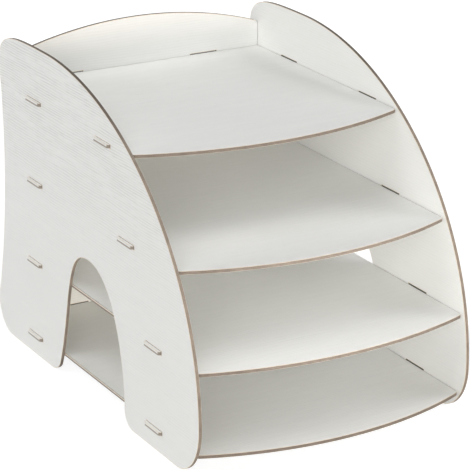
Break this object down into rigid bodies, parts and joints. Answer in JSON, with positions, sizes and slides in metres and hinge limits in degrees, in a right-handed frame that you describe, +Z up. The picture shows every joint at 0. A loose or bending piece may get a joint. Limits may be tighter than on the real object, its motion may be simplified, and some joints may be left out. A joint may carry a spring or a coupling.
{
  "type": "desk document organizer",
  "caption": "Plug-together desk organizer of white wood-grain board: curved side panels with arched feet, a back panel and bow-fronted shelves for documents.",
  "frame": {"origin": "on the desk, under the middle of the organizer's bounding box", "axes": "+X to the right seen from the open front, +Y to the back panel, +Z up"},
  "size_m": [0.2614, 0.3932, 0.2856],
  "materials": {
    "white_laminate_board": "matte white wood-grain foil on hardboard, with raw brown cut edges"
  },
  "bodies": {
    "root": {"left_side_panel": "white_laminate_board", "right_side_panel": "white_laminate_board", "back_panel": "white_laminate_board", "top_shelf": "white_laminate_board", "upper_shelf": "white_laminate_board", "lower_shelf": "white_laminate_board", "bottom_shelf": "white_laminate_board"}
  },
  "joints": []
}
